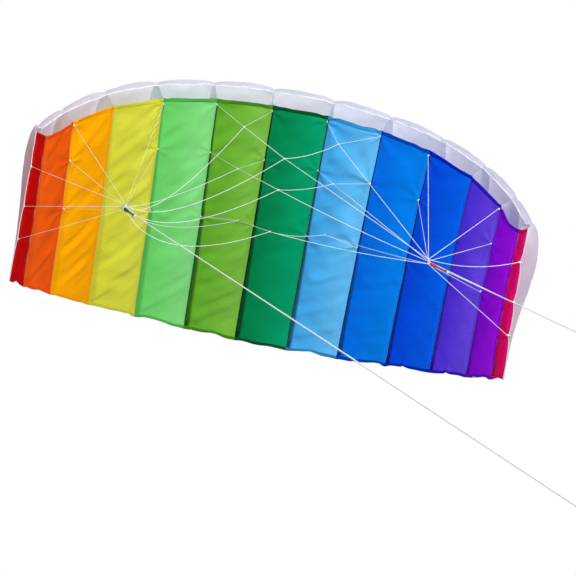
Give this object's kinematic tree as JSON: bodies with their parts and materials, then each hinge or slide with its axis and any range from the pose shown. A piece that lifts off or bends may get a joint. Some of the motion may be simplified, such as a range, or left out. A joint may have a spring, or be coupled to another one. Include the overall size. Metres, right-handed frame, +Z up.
{
  "type": "parafoil kite",
  "caption": "Dual-line ram-air parafoil kite in rainbow cloth with open cell mouths, a three-row line bridle, two pigtails and the start of two flying lines.",
  "frame": {"origin": "middle of the bottom skin, halfway along the centre chord", "axes": "+Z up through the canopy, -Y towards the cell mouths (leading edge), +X towards the right wing tip (crimson cell)"},
  "size_m": [1.0312, 0.9744, 1.8037],
  "materials": {
    "cloth_01": "dark red ripstop nylon, satin, slightly see-through",
    "cloth_02": "orange red ripstop nylon, satin, slightly see-through",
    "cloth_03": "orange ripstop nylon, satin, slightly see-through",
    "cloth_04": "olive yellow ripstop nylon, satin, slightly see-through",
    "cloth_05": "light green ripstop nylon, satin, slightly see-through",
    "cloth_06": "olive green ripstop nylon, satin, slightly see-through",
    "cloth_07": "teal green ripstop nylon, satin, slightly see-through",
    "cloth_08": "sky blue ripstop nylon, satin, slightly see-through",
    "cloth_09": "azure ripstop nylon, satin, slightly see-through",
    "cloth_10": "royal blue ripstop nylon, satin, slightly see-through",
    "cloth_11": "indigo ripstop nylon, satin, slightly see-through",
    "cloth_12": "purple ripstop nylon, satin, slightly see-through",
    "cloth_13": "crimson ripstop nylon, satin, slightly see-through",
    "cloth_white": "white ripstop nylon, satin, slightly see-through",
    "cord_white": "white braided polyester line",
    "pigtail_blue": "dark blue braided pigtail",
    "pigtail_red": "red braided pigtail"
  },
  "bodies": {
    "canopy": {"bottom_panel_01": "cloth_01", "bottom_panel_02": "cloth_02", "bottom_panel_03": "cloth_03", "bottom_panel_04": "cloth_04", "bottom_panel_05": "cloth_05", "bottom_panel_06": "cloth_06", "bottom_panel_07": "cloth_07", "bottom_panel_08": "cloth_08", "bottom_panel_09": "cloth_09", "bottom_panel_10": "cloth_10", "bottom_panel_11": "cloth_11", "bottom_panel_12": "cloth_12", "bottom_panel_13": "cloth_13", "top_panel_01": "cloth_white", "top_panel_02": "cloth_white", "top_panel_03": "cloth_white", "top_panel_04": "cloth_white", "top_panel_05": "cloth_white", "top_panel_06": "cloth_white", "top_panel_07": "cloth_white", "top_panel_08": "cloth_white", "top_panel_09": "cloth_white", "top_panel_10": "cloth_white", "top_panel_11": "cloth_white", "top_panel_12": "cloth_white", "top_panel_13": "cloth_white", "end_rib_left": "cloth_white", "rib_01": "cloth_white", "rib_02": "cloth_white", "rib_03": "cloth_white", "rib_04": "cloth_white", "rib_05": "cloth_white", "rib_06": "cloth_white", "rib_07": "cloth_white", "rib_08": "cloth_white", "rib_09": "cloth_white", "rib_10": "cloth_white", "rib_11": "cloth_white", "rib_12": "cloth_white", "end_rib_right": "cloth_white", "bridle_left_front": "cord_white", "bridle_left_middle": "cord_white", "bridle_left_rear": "cord_white", "bridle_right_front": "cord_white", "bridle_right_middle": "cord_white", "bridle_right_rear": "cord_white"},
    "tow_knot_left": {"tow_knot_left": "cord_white"},
    "pigtail_left": {"pigtail_left": "pigtail_blue"},
    "line_left": {"line_knot_left": "cord_white", "flying_line_left": "cord_white", "end_loop_left": "cord_white"},
    "tow_knot_right": {"tow_knot_right": "cord_white"},
    "pigtail_right": {"pigtail_right": "pigtail_red"},
    "line_right": {"line_knot_right": "cord_white", "flying_line_right": "cord_white", "end_loop_right": "cord_white"}
  },
  "joints": [
    {"name": "left_pull_fore_aft", "type": "hinge", "parent": "canopy", "child": "tow_knot_left", "pos_m": [-0.268, -0.189, -0.373], "axis": [1, 0, 0], "range_deg": [-24, 66]},
    {"name": "left_pull_sideways", "type": "hinge", "parent": "tow_knot_left", "child": "pigtail_left", "pos_m": [-0.268, -0.189, -0.373], "axis": [0, 1, 0], "range_deg": [-18, 72]},
    {"name": "left_line_bend", "type": "hinge", "parent": "pigtail_left", "child": "line_left", "pos_m": [-0.23756, -0.21128, -0.43232], "axis": [-0.5907, -0.8069, 0], "range_deg": [-20, 20]},
    {"name": "right_pull_fore_aft", "type": "hinge", "parent": "canopy", "child": "tow_knot_right", "pos_m": [0.29, -0.199, -0.371], "axis": [1, 0, 0], "range_deg": [-24, 66]},
    {"name": "right_pull_sideways", "type": "hinge", "parent": "tow_knot_right", "child": "pigtail_right", "pos_m": [0.29, -0.199, -0.371], "axis": [0, 1, 0], "range_deg": [-18, 72]},
    {"name": "right_line_bend", "type": "hinge", "parent": "pigtail_right", "child": "line_right", "pos_m": [0.32044, -0.22128, -0.43032], "axis": [-0.5907, -0.8069, 0], "range_deg": [-20, 20]}
  ]
}
